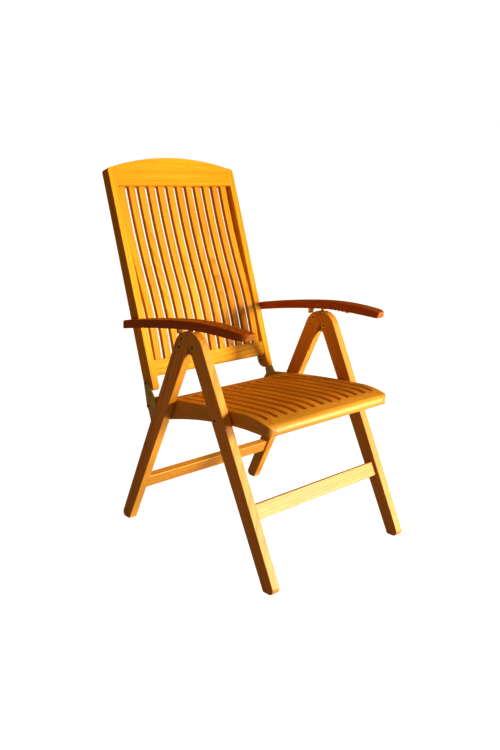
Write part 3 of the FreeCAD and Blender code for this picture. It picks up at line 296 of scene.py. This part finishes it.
# Share of its side rail's height by which the seat falls to the rear, and slope of an arm.
SEAT_FALL = 0.35
ARM_SLOPE = -0.06


def leg_grain(node):
    """Along a leg, from its box: the foot is at the outer end and the round top at the inner."""
    low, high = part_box(node)
    tall = high.z - low.z
    deep = high.y - low.y
    forward = -1 if "front" in node else 1
    return (0, -forward * (deep - LEG_END_DEPTH), tall - LEG_END_RISE)


ACROSS = (1, 0, 0)
stile_low, stile_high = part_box("back_stile_left")
LEAN = (0, stile_high.y - stile_low.y - STILE_END_DEPTH, stile_high.z - stile_low.z)
seat_low, seat_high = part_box("seat_rail_left")
SEAT_RUN = (0, 1, -(seat_high.z - seat_low.z) * SEAT_FALL / (seat_high.y - seat_low.y))
ARM_RUN = (0, 1, ARM_SLOPE)


def grain_of(node):
    if "leg" in node:
        return leg_grain(node)
    if node.startswith("back_slat") or "stile" in node:
        return LEAN
    if node.startswith("seat_slat") or node in ("seat_rail_left", "seat_rail_right"):
        return SEAT_RUN
    if node.startswith("armrest"):
        return ARM_RUN
    return ACROSS


# Brightness, hue and sheen of each family of boards, and how far boards of one family differ.
BOARDS = {
    "leg": (0.94, 0.500, 0.60, 0.05),
    "stretcher": (0.88, 0.500, 0.90, 0.05),
    "seat_slat": (1.02, 0.503, 0.22, 0.10),
    "seat": (0.92, 0.506, 0.60, 0.05),
    "back_slat": (0.90, 0.502, 0.05, 0.09),
    "back": (1.04, 0.510, 0.04, 0.04),
    # Armrests: painted shade, the arms' wood made darker and redder to stand for the shade on their
    # faces.
    "armrest": (0.60, 0.464, 0.20, 0.04),
}
PLATES = ("plate_left", "plate_right", "rack")
# Fineness of the scratches along X, Y and Z: they run level on plates and every way on bolts.
PLATE_BRUSH = (60, 90, 1400)
BOLT_BRUSH = (400, 400, 400)
BOLT_HEAD = 0.0075
SCREW_HEAD = 0.0062


def family_of(node):
    for family in ("seat_slat", "back_slat", "armrest", "stretcher", "leg"):
        if family in node:
            return family
    return "seat" if node.startswith("seat") else "back"


def screw_axes(node, obj):
    """Axes of the fasteners of one node, in depth and height, from its box: one axis through the
    middle, or one at each end of the falling diagonal if the box is taller than a head."""
    low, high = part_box(node)
    head = SCREW_HEAD if node == "hinge_plate_screws" else BOLT_HEAD
    if high.z - low.z < 3 * head:
        spots = [(low + high) / 2]
    else:
        spots = [Vector((0, low.y + head, high.z - head)), Vector((0, high.y - head, low.z + head))]
    home = obj.matrix_world.inverted()
    return [(home @ spot)[1:] for spot in spots]


def dress(node, obj):
    """Give one CAD node its material."""
    slot_name = slots[node]
    seed = sum(ord(letter) * (index + 3) for index, letter in enumerate(node))
    if slot_name.endswith("wood"):
        tone, hue, sheen, spread = BOARDS[family_of(node)]
        draw = random.Random(seed + 11)
        material = wood("wood_" + node, grain_of(node), seed,
                        tone * (1 + draw.uniform(-spread, spread)), hue, sheen)
    elif any(word in node for word in PLATES):
        material = brass("brass_" + node, seed, PLATE_BRUSH)
    else:
        axes = screw_axes(node, obj) if "washer" not in node and "catch" not in node else ()
        material = brass("brass_" + node, seed, BOLT_BRUSH, axes)
    for material_slot in obj.material_slots:
        material_slot.material = material


slots = {part["node"]: part["material_slot"] for part in frame["record"]["subparts"]}
for node, obj in nodes.items():
    dress(node, obj)


# ---------------------------------------------------------------- camera

def aim_camera():
    """Camera at the viewer's eye."""
    forward = Vector((math.sin(YAW) * math.cos(PITCH), math.cos(YAW) * math.cos(PITCH),
                      math.sin(PITCH)))
    level = Vector((math.cos(YAW), -math.sin(YAW), 0))
    above = level.cross(forward)
    right = level * math.cos(ROLL) + above * math.sin(ROLL)
    up = above * math.cos(ROLL) - level * math.sin(ROLL)
    data = bpy.data.cameras.new("camera")
    camera = bpy.data.objects.new("camera", data)
    bpy.context.scene.collection.objects.link(camera)
    data.sensor_width = SENSOR_MM
    data.lens = LENS_MM
    data.clip_end = 100
    camera.matrix_world = Matrix((
        (right.x, up.x, -forward.x, EYE.x),
        (right.y, up.y, -forward.y, EYE.y),
        (right.z, up.z, -forward.z, EYE.z),
        (0, 0, 0, 1)))
    bpy.context.scene.camera = camera


# ---------------------------------------------------------------- studio

def plain_material(name, colour, rough):
    """Paper that glows white to the eye, as a floor lit from below does, so no shadow shows on it."""
    n = Nodes(name)
    shader = n.add("BsdfPrincipled")
    grain = n.noise(n.scaled(n.add("TexCoord").outputs["Object"], (3, 3, 3)))
    n.feed(shader.inputs["Base Color"], n.mix(grain, colour, tuple(c * 0.985 for c in colour)))
    shader.inputs["Roughness"].default_value = rough
    shader.inputs["Emission Color"].default_value = (1, 1, 1, 1)
    seen = n.add("LightPath")
    n.feed(shader.inputs["Emission Strength"],
           n.span(seen.outputs["Is Camera Ray"], 0, 1, FLOOR_GLOW, WHITE_SEEN))
    n.feed(n.output.inputs["Surface"], shader.outputs[0])
    return n.material


def studio_floor():
    """Pale flat floor that reaches far past the picture on every side."""
    mesh = bpy.data.meshes.new("studio_floor")
    corners = [(FLOOR_REACH * across, FLOOR_REACH * depth, 0)
               for across, depth in ((-1, -1), (1, -1), (1, 1), (-1, 1))]
    mesh.from_pydata(corners, [], [(0, 1, 2, 3)])
    floor = bpy.data.objects.new("studio_floor", mesh)
    bpy.context.scene.collection.objects.link(floor)
    floor.location.z = cad_box[0].z - FLOOR_GAP
    mesh.materials.append(plain_material("studio_paper", (0.26, 0.26, 0.26), 0.9))


def aimed_light(name, kind, place, target, watts, colour, **shape):
    data = bpy.data.lights.new(name, kind)
    data.energy = watts
    data.color = colour
    for key, setting in shape.items():
        setattr(data, key, setting)
    light = bpy.data.objects.new(name, data)
    light.location = place
    light.rotation_mode = "QUATERNION"
    light.rotation_quaternion = (Vector(target) - Vector(place)).to_track_quat("-Z", "Y")
    bpy.context.scene.collection.objects.link(light)


def studio_light():
    """Warm key from the front, to the sitter's left, spots on the parts that the key leaves too
    dark, a soft amber lamp above and air that glows a dim amber."""
    aimed_light("key_light", "SUN", SUN_WAY, (0, 0, 0), SUN_STRENGTH, SUN_COLOUR,
                angle=math.radians(SUN_ANGLE))
    for name, place, target, cone, radius, watts, colour in SPOTS:
        aimed_light(name, "SPOT", place, target, watts, colour, spot_size=math.radians(cone),
                    spot_blend=1.0, shadow_soft_size=radius)
    aimed_light("top_light", "AREA", (0.2, -0.3, 3.2), (0, 0, 0.5), 16, (1.0, 0.62, 0.16),
                shape="SQUARE", size=1.6)
    # The air is white to the eye and a dim amber as a light, as warm walls far off are.
    world = bpy.data.worlds.new("studio_air")
    world.use_nodes = True
    tree = world.node_tree
    glow = tree.nodes["Background"]
    glow.inputs["Color"].default_value = (*AIR_COLOUR, 1)
    glow.inputs["Strength"].default_value = AIR_GLOW
    white = tree.nodes.new("ShaderNodeBackground")
    white.inputs["Color"].default_value = (1, 1, 1, 1)
    white.inputs["Strength"].default_value = WHITE_SEEN
    seen = tree.nodes.new("ShaderNodeLightPath")
    choice = tree.nodes.new("ShaderNodeMixShader")
    tree.links.new(seen.outputs["Is Camera Ray"], choice.inputs[0])
    tree.links.new(glow.outputs[0], choice.inputs[1])
    tree.links.new(white.outputs[0], choice.inputs[2])
    tree.links.new(choice.outputs[0], tree.nodes["World Output"].inputs["Surface"])
    bpy.context.scene.world = world
    bpy.context.scene.view_settings.view_transform = "Standard"


aim_camera()
studio_floor()
studio_light()
